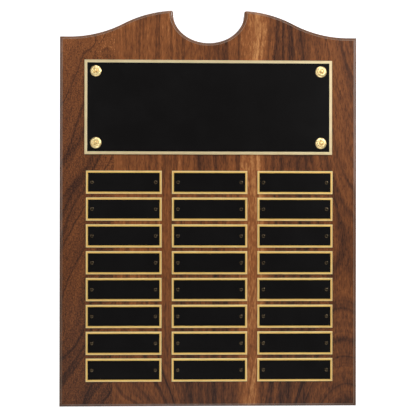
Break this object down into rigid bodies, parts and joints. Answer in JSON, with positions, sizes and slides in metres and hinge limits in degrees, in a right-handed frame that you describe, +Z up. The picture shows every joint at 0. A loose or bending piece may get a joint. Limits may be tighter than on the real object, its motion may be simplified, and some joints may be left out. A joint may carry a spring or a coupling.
{
  "type": "wooden plaque",
  "caption": "Wall-hung walnut recognition plaque with a crested top and round notch, a black and gold header plate on rosette tacks, and a grid of small name plates.",
  "frame": {"origin": "the hanging point: the top of the keyhole slot, in the plane of the back face, where the shank of the wall screw carries the plaque", "axes": "+Z up, the front face and its plates face -Y, the back face lies in the plane y = 0 and faces +Y, +X to the right seen from the front"},
  "size_m": [0.3048, 0.0235, 0.4063],
  "materials": {
    "walnut_figured": "satin lacquer over figured black walnut, darker, with swirling grain",
    "walnut_straight": "satin lacquer over straight-grained black walnut with dark streaks",
    "walnut_pale": "satin lacquer over black walnut with a pale band along its left edge",
    "black_brass": "satin black enamel on brass",
    "gold_border": "bright gold border, bevelled and mitred",
    "gilt": "bright gilt casting",
    "pin_black": "black japanned steel, semi-gloss",
    "zinc_steel": "zinc plated steel"
  },
  "bodies": {
    "root": {"stave_left": "walnut_figured", "stave_centre": "walnut_straight", "stave_right": "walnut_pale", "header_plate": "black_brass", "rosette_tack_top_left": "gilt", "rosette_tack_top_right": "gilt", "rosette_tack_bottom_left": "gilt", "rosette_tack_bottom_right": "gilt", "name_plate_row1_col1": "black_brass", "name_plate_row1_col2": "black_brass", "name_plate_row1_col3": "black_brass", "name_plate_row2_col1": "black_brass", "name_plate_row2_col2": "black_brass", "name_plate_row2_col3": "black_brass", "name_plate_row3_col1": "black_brass", "name_plate_row3_col2": "black_brass", "name_plate_row3_col3": "black_brass", "name_plate_row4_col1": "black_brass", "name_plate_row4_col2": "black_brass", "name_plate_row4_col3": "black_brass", "name_plate_row5_col1": "black_brass", "name_plate_row5_col2": "black_brass", "name_plate_row5_col3": "black_brass", "name_plate_row6_col1": "black_brass", "name_plate_row6_col2": "black_brass", "name_plate_row6_col3": "black_brass", "name_plate_row7_col1": "black_brass", "name_plate_row7_col2": "black_brass", "name_plate_row7_col3": "black_brass", "name_plate_row8_col1": "black_brass", "name_plate_row8_col2": "black_brass", "name_plate_row8_col3": "black_brass", "hanger_plate": "zinc_steel", "hanger_screw_top": "zinc_steel", "hanger_screw_bottom": "zinc_steel"}
  },
  "joints": []
}
